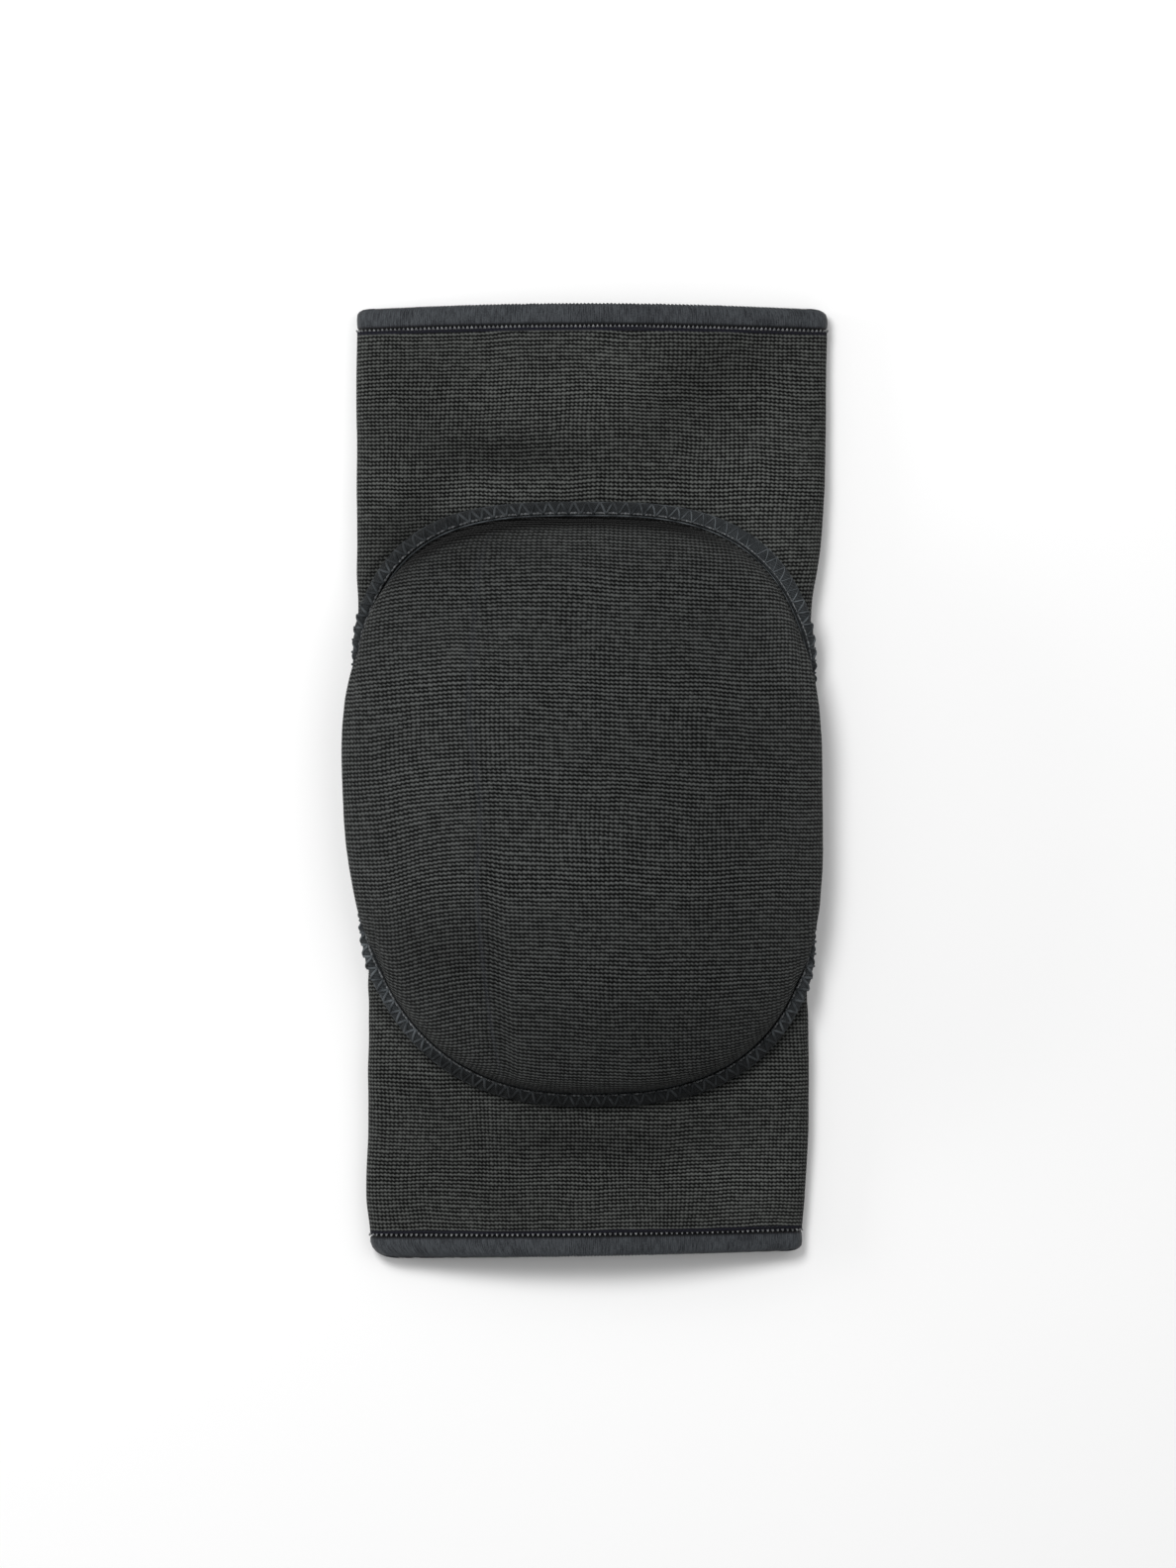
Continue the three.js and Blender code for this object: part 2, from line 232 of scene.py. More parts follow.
sleeve = {
    "length": 250, "thighWidth": 123.6, "calfWidth": 115.6, "wall": 1.8,
    "mouthOpening": 10, "kneeOpening": 24.4, "mouthBend": 1, "kneeBend": 4.7,
    "mouthBow": 1, "calfSlant": 1.8, "mouthPower": 6, "dentDepth": 1.2, "hemHeight": 5.8,
    "mouthRadius": 4.0, "kneeRadius": 6.5, "cornerRadius": 2.2, "clearance": 0.3,
    "corners": {"thighLeft": 0.8, "thighRight": 1.2, "calfLeft": 2.5, "calfRight": 1.0},
    # share of the length from the calf, half widths left and right, height towards the knee
    "sections": [
        (0.0, 0.975, 0.985, 0.0), (0.028, 0.974, 0.985, 0.01), (0.064, 0.988, 0.996, 0.06),
        (0.128, 0.976, 1.007, 0.22), (0.208, 0.968, 1.004, 0.5), (0.292, 0.96, 0.988, 0.77),
        (0.38, 0.956, 0.974, 0.94), (0.5, 0.956, 0.96, 1.0), (0.6, 0.966, 0.965, 0.97),
        (0.686, 0.984, 0.985, 0.84), (0.748, 0.984, 1.018, 0.66), (0.832, 0.979, 1.032, 0.36),
        (0.916, 0.976, 1.031, 0.12), (0.972, 0.968, 1.032, 0.02), (1.0, 0.965, 1.028, 0.0),
    ],
    # across and along as shares, length and breadth, turn in degrees, depth
    "dents": [
        (-0.55, 0.6, 0.2, 0.066, 32, 1.0), (0.72, 0.735, 0.15, 0.1, 18, 0.7),
        (0.28, 0.84, 0.14, 0.1, 80, -0.45), (-0.15, -0.79, 0.34, 0.068, 0, 0.7),
    ],
    "columns": 200, "rows": 200,
    # how much of each half of the grid lies on the front, and up to where on the fold
    "frontShare": 0.5, "foldShare": 0.72,
    # ripples: height, length round the leg and along it, and a number that picks their pattern
    "slowRipple": (0.3, 21, 15, 2.7), "fineRipple": (0.1, 6, 9, 7.1),
    "rippleEnds": (1.2, 1.9),
    "pucker": 0.22, "puckers": 66, "puckerReach": 5, "puckerPattern": 0,
    # where the widest place is looked for: how far along, at what pace, and steps round the fold
    "widestWithin": 118, "widestPace": 2, "widestSteps": 12,
    "weaveHalf": 125.44,  # half the girth as knitted, 112 columns of 1.12
}
halfLength = sleeve["length"] / 2
sleeveEnd = halfLength - sleeve["hemHeight"] - sleeve["clearance"]


def lerp(low, high, share):
    return low + (high - low) * share


def smooth(low, high, value):
    share = min(max((value - low) / (high - low), 0), 1)
    return share * share * (3 - 2 * share)


def curveThrough(rows, column):
    def curve(at):
        last = 1
        while last < len(rows) - 1 and rows[last][0] < at:
            last += 1
        around = [min(max(index, 0), len(rows) - 1) for index in range(last - 2, last + 2)]
        before, start, end, after = [rows[index] for index in around]
        span = end[0] - start[0]
        share = (at - start[0]) / span
        leave = span * (end[column] - before[column]) / (end[0] - before[0])
        arrive = span * (after[column] - start[column]) / (after[0] - start[0])
        return (start[column] * (1 - share) ** 2 * (1 + 2 * share)
                + end[column] * share ** 2 * (3 - 2 * share)
                + leave * share * (1 - share) ** 2 - arrive * share ** 2 * (1 - share))
    return curve


leftShare = curveThrough(sleeve["sections"], 1)
rightShare = curveThrough(sleeve["sections"], 2)
heightShare = curveThrough(sleeve["sections"], 3)


@lru_cache(maxsize=None)
def sectionAt(along, side):
    # a flat back, two round folds and an arched front; side is -1 on the left and 1 on the right
    at = along / sleeve["length"] + 0.5
    height = heightShare(at)
    radius = lerp(sleeve["mouthRadius"], sleeve["kneeRadius"], height)
    rise = lerp(sleeve["mouthOpening"] - 2 * sleeve["mouthBend"],
                sleeve["kneeOpening"] - 2 * sleeve["kneeBend"], height)
    end = "calf" if along < 0 else "thigh"
    corner = sleeve["cornerRadius"] * sleeve["corners"][end + ("Left" if side < 0 else "Right")]
    inside = min(max(0, corner - (halfLength - abs(along))), corner)
    inset = corner - math.sqrt(corner ** 2 - inside ** 2)
    share = leftShare(at) if side < 0 else rightShare(at)
    reach = lerp(sleeve["calfWidth"], sleeve["thighWidth"], at) / 2 * share - inset - radius
    slope = rise * math.pi / (2 * reach)
    crown = reach * (1 + slope ** 2 / 4) + radius * math.atan(slope)
    fold = radius * (math.pi - math.atan(slope))
    return radius, rise, reach, slope, crown, fold


def dentAt(across, along):
    total = 0
    for dentAcross, dentAlong, length, breadth, turn, depth in sleeve["dents"]:
        x = (across - dentAcross) * sleeve["thighWidth"] / 2
        y = along - dentAlong * halfLength
        angle = math.radians(turn)
        lengthwise = (x * math.cos(angle) + y * math.sin(angle)) / (length * halfLength)
        breadthwise = (y * math.cos(angle) - x * math.sin(angle)) / (breadth * halfLength)
        total += depth * sleeve["dentDepth"] * math.exp(-lengthwise ** 2 - breadthwise ** 2)
    return total


def mouthShift(across, along):
    near = (along / halfLength) ** sleeve["mouthPower"]
    if along > 0:
        return -near * sleeve["mouthBow"] * across ** 2
    return near * sleeve["calfSlant"] * (1 + across) / 2


def sleevePoint(side, turn, along, lift):
    # turn is 0 at the middle of the front, 1 and 2 at the fold's ends, 3 at the middle of the back
    radius, rise, reach, slope, _, _ = sectionAt(along, side)
    over = min(turn, 1)
    across = min(over, 3 - turn)
    if turn <= 1:
        lean = math.atan(slope * math.sin(over * math.pi / 2))
    else:
        lean = lerp(math.atan(slope), math.pi, min(turn - 1, 1))
    front = math.cos(over * math.pi / 2)
    x = reach * across + (radius + lift) * math.sin(lean)
    z = radius + rise * front + (radius + lift) * math.cos(lean)
    dent = front * dentAt(side * across, along)
    return Vector((side * x, along + mouthShift(side * across, along), z - dent))


def girthAt(side, turn, along):
    _, _, reach, _, crown, fold = sectionAt(along, side)
    return side * (min(turn, 1) * crown + min(max(turn - 1, 0), 1) * fold + max(turn - 2, 0) * reach)


def girthPoint(girth, along, lift):
    side = -1 if girth < 0 else 1
    _, _, reach, _, crown, fold = sectionAt(along, side)
    past = abs(girth) - crown
    if past <= 0:
        turn = abs(girth) / crown
    elif past <= fold:
        turn = 1 + past / fold
    else:
        turn = 2 + (past - fold) / reach
    return sleevePoint(side, turn, along, lift)


# Form of the pad

pad = {
    "length": 150.2, "leftReach": 63.1, "rightReach": 64.1, "drop": 6, "height": 20.1,
    "wall": 1.6, "ease": 0.5, "clearance": 0.3, "overhang": 1.6,
    "ovalPower": {"thighLeft": 3.2, "thighRight": 2.9, "calfLeft": 2.3, "calfRight": 2.7},
    "domePower": {"thigh": 1.95, "side": 2.15, "calf": 2.35},
    "overhangShares": {"thighLeft": 4.1, "thighRight": 0.0, "calfLeft": -2.6, "calfRight": -1.6,
                       "calf": 1.0},
    "overhangStart": 0.04, "overhangFull": 0.28,
    "columns": 190, "rows": 150, "foamFaces": 72,
    "arcSteps": 12,
    "slowRipple": (0.3, 19, 19, 11.3), "fineRipple": (0.1, 5, 6, 4.9), "rippleStart": 0.1,
    "pucker": 0.16, "puckers": 75, "puckerPattern": 5, "puckerStart": 0.03, "puckerFall": 14,
    # towards the thigh the cover tucks in under the seam, between two shares of its climb
    "tuck": 0.9, "tuckTurn": (-0.3, 0.5), "tuckFull": 0.05, "tuckEnd": 0.4,
    "stretch": 0.3,
    # towards the calf the courses lie closer, from a little higher on the right than on the left
    "denser": 0.09, "denseFrom": (-10, 15), "denseAcross": (10, 45), "denseOver": 12,
}
crease = {
    "column": -0.2, "bow": 0.21, "height": 0.7, "ridge": 0.9, "groove": 0.4, "grooveSide": -1.5,
    # the painted shade of a darker line beside the crease: how dark, where it lies, how wide, and how
    # it follows the crease's strength
    "grooveWidth": 0.6, "thigh": 0.35, "calf": 1.0, "paintedShade": 0.44, "paintedShadeAt": -0.9, "paintedShadeWidth": 0.6,
    "paintedShadePower": 0.55, "girthSlope": 1.5,
    # where it passes from the calf's strength to the thigh's, and how far from the middle it ends
    "passes": (-25, 45), "ends": (60, 76),
    # how the courses climb to the crease from the left and fall away to its right
    "climb": 4.5, "climbFrom": 36, "fall": 1.8, "fallOver": 6, "fallSlow": 60, "fallEnds": (-34, -8),
    "climbPasses": (-40, 50),
}


def ovalRim(x, y):
    power = pad["ovalPower"][("calf" if y < 0 else "thigh") + ("Left" if x < 0 else "Right")]
    return (abs(x) ** power + abs(y) ** power) ** (-1 / power)


def padReach(x):
    return pad["leftReach"] if x < 0 else pad["rightReach"]


def domePowerAt(y):
    return lerp(pad["domePower"]["side"], pad["domePower"]["calf" if y < 0 else "thigh"], y * y)


def overhangAt(x, y, climb):
    shares = pad["overhangShares"]
    hand = "Left" if x < 0 else "Right"
    side = lerp(shares["calf" + hand], shares["thigh" + hand], (1 + y) / 2)
    end = shares["calf"] if y < 0 else 0
    start, full = pad["overhangStart"], pad["overhangFull"]
    lean = pad["overhang"] * smooth(start, full, climb) * (1 - smooth(full, 1, climb))
    return Vector((side * x * lean, end * y * lean, 0))


def domeAt(across, up, inset):
    # a place on the dome from its place in a unit disc, so far inside the cover's outside
    share = min(math.hypot(across, up), 1)
    x, y = (across / share, up / share) if share > 0 else (1, 0)
    power = domePowerAt(y)
    climb = 1 - share
    spread = ovalRim(x, y) * math.cos(climb * math.pi / 2) ** (2 / power)
    rise = math.sin(climb * math.pi / 2) ** (2 / power)
    girth = x * spread * (padReach(x) - inset)
    along = y * spread * (pad["length"] / 2 - inset) - pad["drop"]
    return girth, along, rise * (pad["height"] - inset), overhangAt(x, y, climb)


def domeLift(girth, along):
    across = girth / padReach(girth)
    up = (along + pad["drop"]) / (pad["length"] / 2)
    share = math.hypot(across, up)
    if share == 0:
        return pad["height"]
    x, y = across / share, up / share
    power = domePowerAt(y)
    return pad["height"] * max(0, 1 - (share / ovalRim(x, y)) ** power) ** (1 / power)


def arcOver(lift, far):
    # length over the dome from its middle to a place, by short chords that close up towards it
    length, lastAt, lastLift = 0, 0, lift(0)
    for step in range(1, pad["arcSteps"] + 1):
        at = far * math.sin(step / pad["arcSteps"] * math.pi / 2)
        here = lift(at)
        length += math.hypot(at - lastAt, here - lastLift)
        lastAt, lastLift = at, here
    return math.copysign(length, far)


def creaseStrength(along):
    strength = lerp(crease["calf"], crease["thigh"], smooth(*crease["passes"], along))
    return strength * (1 - smooth(*crease["ends"], abs(along + pad["drop"])))


def creaseLift(beside, along):
    ridge = crease["height"] * math.exp(-(beside / crease["ridge"]) ** 2)
    besideGroove = (beside - crease["grooveSide"]) / crease["grooveWidth"]
    groove = crease["groove"] * math.exp(-besideGroove ** 2)
    return (ridge - groove) * creaseStrength(along)


def courseClimb(beside, along):
    if beside < 0:
        climb = crease["climb"] * smooth(-crease["climbFrom"], 0, beside)
    else:
        fall = crease["fall"] * (1 - smooth(*crease["fallEnds"], along))
        climb = (crease["climb"] - fall * smooth(0, crease["fallOver"], beside)
                 - (crease["climb"] - fall) * smooth(0, crease["fallSlow"], beside))
    return climb * lerp(crease["calf"], crease["thigh"], smooth(*crease["climbPasses"], along))


seam = {
    "width": 3.2, "height": 2.4, "zigzags": 144, "stepsPerZigzag": 6, "archSteps": 9,
    "squareness": 0.75, "threadRadius": 0.36, "threadSteps": 12, "threadSides": 6,
    "beads": 432, "beadSteps": 6, "beadRadius": 0.34, "beadWaist": 0.12, "beadArch": 0.22,
    "cordRadius": 0.18, "cordArch": 0.88, "innerRadius": 0.26, "innerArch": 0.03, "innerProud": 0.6,
    # towards the thigh on the right the ridge is pressed flat: where, how far round, and how much
    "flatAt": 52, "flatSpan": 22, "flatWidth": 0.28, "flatHeight": 0.35, "flatThread": 0.6,
    # where the seam is darker, or lighter below 0: the angle, how far round, and how much
    "spots": [(52, 22, -1.15), (127, 13, 0.25), (-142, 18, -0.75), (-40, 9, -0.5)],
    # painted light lifts the thread at the inner foot out of the crevice's shade, and painted shadow
    # darkens the part towards the calf
    "innerAt": -2.8, "innerReach": 0.8, "innerPaintedLight": 0.6,
    "shadow": 0.55, "shadowTurn": (-0.55, -0.85), "shadowLater": 0.12,
    "zigzagSwell": 0.05, "swing": 0.33, "swingPoint": 0.97, "wrap": 6, "angleSteps": 2880,
    "threadProud": 0.1, "beadProud": 0.05, "cordProud": 0.05,
}

# Helpers that make pieces

def widest(side):
    steps, within = sleeve["widestSteps"], sleeve["widestWithin"]
    places = range(-within, within + 1, sleeve["widestPace"])
    return max(side * sleevePoint(side, 1 + step / steps, along, 0).x
               for step in range(steps + 1) for along in places)


cadLow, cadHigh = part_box("knee_sleeve")
sourceShift = (cadLow.x + cadHigh.x) / 2 / mm - (widest(1) - widest(-1)) / 2


def placed(point):
    return Vector((point.x + sourceShift, point.y, point.z)) * mm


def newPiece(name, bm, material, slot, *nodes):
    mesh = bpy.data.meshes.new(name)
    bm.to_mesh(mesh)
    bm.free()
    mesh.materials.append(material)
    piece = bpy.data.objects.new(name, mesh)
    scene.collection.objects.link(piece)
    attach(piece, "root")
    if nodes:
        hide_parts(*nodes)
    return piece


def clothGrid(bm, columns, rows, place, weave):
    # a grid whose vertices are moved to place(across, up) and whose weave map holds weave(across, up)
    layer = bm.loops.layers.uv.get("weave") or bm.loops.layers.uv.new("weave")
    made = bmesh.ops.create_grid(bm, x_segments=columns, y_segments=rows, size=1)["verts"]
    shares = {vertex: ((vertex.co.x + 1) / 2, (vertex.co.y + 1) / 2) for vertex in made}
    maps = {vertex: Vector(weave(*share)) * mm for vertex, share in shares.items()}
    for face in {face for vertex in made for face in vertex.link_faces}:
        face.smooth = True
        for loop in face.loops:
            loop[layer].uv = maps[loop.vert]
    for vertex, share in shares.items():
        vertex.co = placed(place(*share))
    return shares


def solidify(piece, wall):
    modifier = piece.modifiers.new("wall", "SOLIDIFY")
    modifier.thickness = wall * mm
    modifier.offset = -1
    modifier.use_quality_normals = True


def tube(bm, points, normals, radii, sides, closed):
    # a thread along points; a closed one joins its last point to its first
    count = len(points)
    spans = count if closed else count - 1
    made = bmesh.ops.create_grid(bm, x_segments=spans, y_segments=sides, size=1)["verts"]
    for vertex in made:
        step = round((vertex.co.x + 1) / 2 * spans)
        turn = (vertex.co.y + 1) * math.pi
        here = points[step % count]
        ahead = points[(step + 1) % count] if closed else points[min(step + 1, count - 1)]
        behind = points[step - 1] if closed else points[max(step - 1, 0)]
        along = (ahead - behind).normalized()
        normal = normals[step % count]
        normal = (normal - along * normal.dot(along)).normalized()
        out = normal * math.cos(turn) + along.cross(normal) * math.sin(turn)
        vertex.co = placed(here + out * radii[step % count])
        for face in vertex.link_faces:
            face.smooth = True


def shadedMesh():
    bm = bmesh.new()
    bm.verts.layers.float.new("shade")
    return bm


def castShade(bm, shadeAt):
    # painted shade and light: how much darker the cloth is at each vertex, or lighter below 0, from its
    # place in millimetres
    layer = bm.verts.layers.float["shade"]
    for vertex in bm.verts:
        vertex[layer] = shadeAt(vertex.co / mm)


def seamPlace(x, y):
    # the distance outside the seam's outer foot, and the angle round the pad
    across = x / (padReach(x) + pad["clearance"] + seam["width"])
    up = (y + pad["drop"]) / (pad["length"] / 2 + pad["clearance"] + seam["width"])
    share = math.hypot(across, up) or 1
    beyond = (share / ovalRim(across / share, up / share) - 1) * pad["rightReach"]
    return beyond, math.atan2(up, across)


def nearAngle(angle, middle, span):
    return math.exp(-((math.degrees(angle) - middle) / span) ** 2)


def rippleAt(kind, girth, along):
    height, across, up, pattern = kind
    return noise.noise(Vector((girth / across, along / up, pattern))) * height


pucker = {"stray": 3, "pace": 4}


def puckerBeat(form, angle):
    # even folds round the seam, with their rhythm a little disturbed
    stray = noise.noise(Vector((angle * pucker["pace"], form["puckerPattern"], 0)))
    return math.cos(form["puckers"] * angle + pucker["stray"] * stray)


def calfward(angle):
    # 1 where the seam lies in the pad's shadow, which starts a little later on the left
    later = seam["shadowLater"] * min(math.cos(angle), 0)
    return smooth(*seam["shadowTurn"], math.sin(angle) - later)


def blotsAt(blots, place):
    total = 0
    for x, y, length, breadth, turn, depth in blots:
        angle = math.radians(turn)
        lengthwise = ((place.x - x) * math.cos(angle) + (place.y - y) * math.sin(angle)) / length
        breadthwise = ((place.y - y) * math.cos(angle) - (place.x - x) * math.sin(angle)) / breadth
        total += depth * math.exp(-lengthwise ** 2 - breadthwise ** 2)
    return total


def closeUp(bm):
    bmesh.ops.remove_doubles(bm, verts=bm.verts, dist=touching)
    bmesh.ops.recalc_face_normals(bm, faces=bm.faces)


# Sleeve

def aroundLeg(share):
    # 0 and 1 are the middle of the back, 0.5 is the middle of the front
    away = abs(2 * share - 1)
    side = -1 if share < 0.5 else 1
    front, fold = sleeve["frontShare"], sleeve["foldShare"]
    if away < front:
        return side, away / front
    if away < fold:
        return side, 1 + (away - front) / (fold - front)
    return side, 2 + (away - fold) / (1 - fold)


def weaveAcross(girth, along):
    # the tube has as many columns at the calf as at the thigh
    _, _, reach, _, crown, fold = sectionAt(along, -1 if girth < 0 else 1)
    return girth / (reach + crown + fold) * sleeve["weaveHalf"]


def ripple(girth, along):
    slow = rippleAt(sleeve["slowRipple"], girth, along)
    fine = rippleAt(sleeve["fineRipple"], girth, along)
    beyond, angle = seamPlace(girth, along)
    fade = math.exp(-max(beyond, 0) / sleeve["puckerReach"])
    return slow + fine + sleeve["pucker"] * puckerBeat(sleeve, angle) * fade


def sleevePlace(across, up):
    side, turn = aroundLeg(across)
    along = lerp(-sleeveEnd, sleeveEnd, up)
    onFront = 1 - smooth(*sleeve["rippleEnds"], turn)
    lift = ripple(girthAt(side, turn, along), along) * onFront
    return sleevePoint(side, turn, along, lift)


def sleeveWeave(across, up):
    side, turn = aroundLeg(across)
    along = lerp(-sleeveEnd, sleeveEnd, up)
    return weaveAcross(girthAt(side, turn, along), along), along


sleeveShade = {
    # painted shade where the knit lies in a fold and is darker, and painted light where it is lighter:
    # place, length and breadth in millimetres, turn in degrees, depth
    "blots": [
        (-48, 67, 15, 6, 52, 0.42), (-18, 85.5, 21, 5.5, -2, 0.42), (-27, 76, 12, 4, 20, -0.1),
        (-44, 100, 16, 16, 0, 0.24), (31, 105, 20, 9, 33, 0.3), (4, 106, 13, 11, 0, -0.1),
        (44, 82, 18, 16, 60, -0.22), (-42, -82, 12, 5, -25, 0.3), (-2, -95, 30, 6, 0, 0.34),
        (28, -90, 14, 6, 10, 0.14), (-20, -109, 14, 6, -20, 0.16), (44, -104, 14, 11, 0, -0.2),
        (-44, -106, 14, 12, 0, 0.14), (48, 63, 12, 7, -50, -0.35),
    ],
    # painted shadow on the knit just outside the seam: below it towards the calf, above it towards the
    # thigh, and how far each reaches
    "under": 0.38, "underReach": 1.5, "above": 0.25, "aboveReach": 1.2,
    "front": (7, 10),
}
sleeveLook = {
    "column": 1.12, "row": 1.03, "open": 0.48, "drift": 2.4, "mouth": (117.5, 117.9),
    "hole": (0.0025, 0.0025, 0.0025, 1), "yarn": (0.103, 0.108, 0.103, 1),
    # the colour of the painted shadow along the mouth
    "shadow": (0.011, 0.011, 0.016, 1),
}
sleeveKnit = knitMaterial("sleeveKnit", sleeveLook)


def sleeveShadeAt(place):
    # painted shade of the folds and painted shadow beside the seam, on the front only
    beyond, angle = seamPlace(place.x, place.y)
    above = sleeveShade["above"] * math.exp(-(beyond / sleeveShade["aboveReach"]) ** 2)
    under = sleeveShade["under"] * math.exp(-(beyond / sleeveShade["underReach"]) ** 2)
    shade = blotsAt(sleeveShade["blots"], place) + lerp(above, under, calfward(angle))
    return shade * smooth(*sleeveShade["front"], place.z)


bm = shadedMesh()
clothGrid(bm, sleeve["columns"], sleeve["rows"], sleevePlace, sleeveWeave)
bmesh.ops.remove_doubles(bm, verts=bm.verts, dist=touching)
castShade(bm, sleeveShadeAt)
sleevePiece = newPiece("sleeve_knit", bm, sleeveKnit, "knit", "knee_sleeve")
solidify(sleevePiece, sleeve["wall"])
print("sleeve is made")

# Hems, and the row of loops where each joins the knit

hem = {
    "columns": 944, "scallop": 0.16, "scallops": 236, "scallopFrom": 4,
    "ragged": 0.12, "raggedness": 90, "raggedFrom": 3, "raggedPattern": 5,
    # the band's outline as distances from its butt and lifts off the sleeve's outside
    "outline": [
        (0.0, -0.75), (0.15, -0.3), (0.6, -0.02), (1.6, 0.12), (3.0, 0.16), (4.3, 0.08), (5.0, -0.12),
        (5.5, -0.4), (5.75, -0.85), (5.8, -1.15), (5.72, -1.5), (5.45, -1.85), (4.9, -2.08),
        (3.0, -2.3), (0.9, -2.95), (-0.5, -3.0), (-4.2, -3.0), (-4.5, -2.85), (-4.5, -2.3),
        (-4.3, -2.1), (-1.0, -2.1), (0.0, -2.1), (0.0, -1.4),
    ],
    "loopPitch": {"thigh": 1.14, "calf": 1.35}, "loopWidth": 0.36, "loopLength": 0.5,
    "loopLift": 0.34, "loopRadius": 0.17, "loopSteps": 5, "loopSides": 5,
    "loopSink": 0.1, "loopBend": 1.6,
}
hemLook = {
    "finish": {"Roughness": 0.85, "Specular IOR Level": 0.15, "Sheen Weight": 0.15,
               "Sheen Roughness": 0.4},
    "dark": (0.012, 0.013, 0.0155, 1), "light": (0.0555, 0.061, 0.067, 1),
    # the colour of the painted shade at the hem's butt, and where it fades out
    "shade": (0.004, 0.004, 0.005, 1), "shadeEnds": (0.5, 1.5), "depth": 0.12,
    "rib": 0.56, "ribHeight": 0.12, "grainAcross": 3.2, "grainAlong": 0.35, "grain": 2.6,
    "fleckLength": 0.35, "fleck": 1.4, "fleckHeight": 0.3, "cloudLength": 7, "cloud": 1.1,
    "contrast": (-0.8, 0.8),
}


def hemMaterial():
    material, wire = startMaterial("hemJersey", hemLook["finish"])
    place = surfacePlace(wire)
    across, along = place.part(0), place.part(1)
    rib = (across / hemLook["rib"]).wave() * hemLook["ribHeight"]
    drawn = (across * hemLook["grainAcross"]).joined(along * hemLook["grainAlong"])
    grain = drawn.noise(1, 3.0) - 0.5
    fleck = place.noise(hemLook["fleckLength"], 1.0) - 0.5
    cloud = place.noise(hemLook["cloudLength"], 2.0) - 0.5
    uneven = rib + grain * hemLook["grain"] + fleck * hemLook["fleck"] + cloud * hemLook["cloud"]
    tone = uneven.between(*hemLook["contrast"]).mix(hemLook["dark"], hemLook["light"])
    # painted shade in the groove along the band's butt, where it meets the knit
    colour = along.between(*hemLook["shadeEnds"]).mix(hemLook["shade"], tone)
    height = rib + grain + fleck * hemLook["fleckHeight"]
    return finishMaterial(material, colour, height, hemLook["depth"])


hemJersey = hemMaterial()


def hemPlace(end):
    outline = hem["outline"]

    def place(across, up):
        side, turn = aroundLeg(across)
        beyond, lift = outline[round(up * len(outline)) % len(outline)]
        scallop = hem["scallop"] * smooth(hem["scallopFrom"], sleeve["hemHeight"], beyond)
        wave = math.cos(2 * math.pi * across * hem["scallops"]) - 1
        stray = noise.noise(Vector((across * hem["raggedness"], end * hem["raggedPattern"], 0)))
        ragged = hem["ragged"] * stray * smooth(hem["raggedFrom"], sleeve["hemHeight"], beyond)
        along = end * (halfLength - sleeve["hemHeight"] + beyond + scallop * wave + ragged)
        return sleevePoint(side, turn, max(-halfLength, min(halfLength, along)), lift)
    return place


def hemWeave(across, up):
    side, turn = aroundLeg(across)
    outline = hem["outline"]
    index = round(up * len(outline))
    length = 0
    for one, two in zip(outline[:index], outline[1:index + 1]):
        length += math.dist(one, two)
    return weaveAcross(girthAt(side, turn, halfLength), halfLength), length


def loopRow(end, pitch):
    bm = bmesh.new()
    along = halfLength - sleeve["hemHeight"]
    left = girthAt(-1, 3, end * along)
    right = girthAt(1, 3, end * along)
    loops = round((right - left) / pitch)
    for index in range(loops):
        middle = lerp(left, right, (index + 0.5) / loops)
        points = []
        for step in range(hem["loopSteps"]):
            share = 2 * step / (hem["loopSteps"] - 1) - 1
            beside = share * hem["loopWidth"] / 2
            reach = along - hem["loopSink"] - hem["loopLength"] * abs(share) ** hem["loopBend"]
            lift = hem["loopLift"] * (1 - share ** 2) - hem["loopSink"]
            points.append(girthPoint(middle + beside, end * reach, lift))
        outside = girthPoint(middle, end * along, 1) - girthPoint(middle, end * along, 0)
        radii = [hem["loopRadius"]] * len(points)
        tube(bm, points, [outside] * len(points), radii, hem["loopSides"], False)
    closeUp(bm)
    return bm


yarn = {
    "finish": {"Roughness": 0.85, "Specular IOR Level": 0.12, "Sheen Weight": 0.03},
    "contrast": (0.3, 0.7), "twist": 0.35, "twistHeight": 0.5, "hairs": 0.25, "depth": 0.05,
    # the yarns: darkest and lightest, and the length of their patches
    "loop": ((0.07, 0.072, 0.075, 1), (0.23, 0.235, 0.24, 1), 0.9),
    "seam": ((0.0125, 0.0143, 0.0158, 1), (0.048, 0.0535, 0.0575, 1), 3.5),
    "bead": ((0.0245, 0.026, 0.0275, 1), (0.108, 0.113, 0.117, 1), 0.9),
}


def yarnMaterial(name, dark, light, patch):
    material, wire = startMaterial(name, yarn["finish"])
    place = wire.node("ShaderNodeTexCoord", {}, {}, 3).scaled(1 / mm)
    tone = place.noise(patch, 3.0).between(*yarn["contrast"]).mix(dark, light)
    twist = ((place.part(0) + place.part(1)) / yarn["twist"]).wave() * yarn["twistHeight"]
    hairs = place.noise(yarn["hairs"], 1.0)
    shaded = tone.scaled(1 - wire.attribute("shade"))
    return finishMaterial(material, shaded, twist + hairs, yarn["depth"])


loopYarn = yarnMaterial("loopYarn", *yarn["loop"])
for name, end in (("thigh", 1), ("calf", -1)):
    bm = bmesh.new()
    clothGrid(bm, hem["columns"], len(hem["outline"]), hemPlace(end), hemWeave)
    closeUp(bm)
    newPiece(f"{name}_hem_band", bm, hemJersey, "hem", f"{name}_hem")
    newPiece(f"{name}_hem_loops", loopRow(end, hem["loopPitch"][name]), loopYarn, "hem")
print("hems are made")

# Pad: the knitted cover, the foam in it, and the seam round it

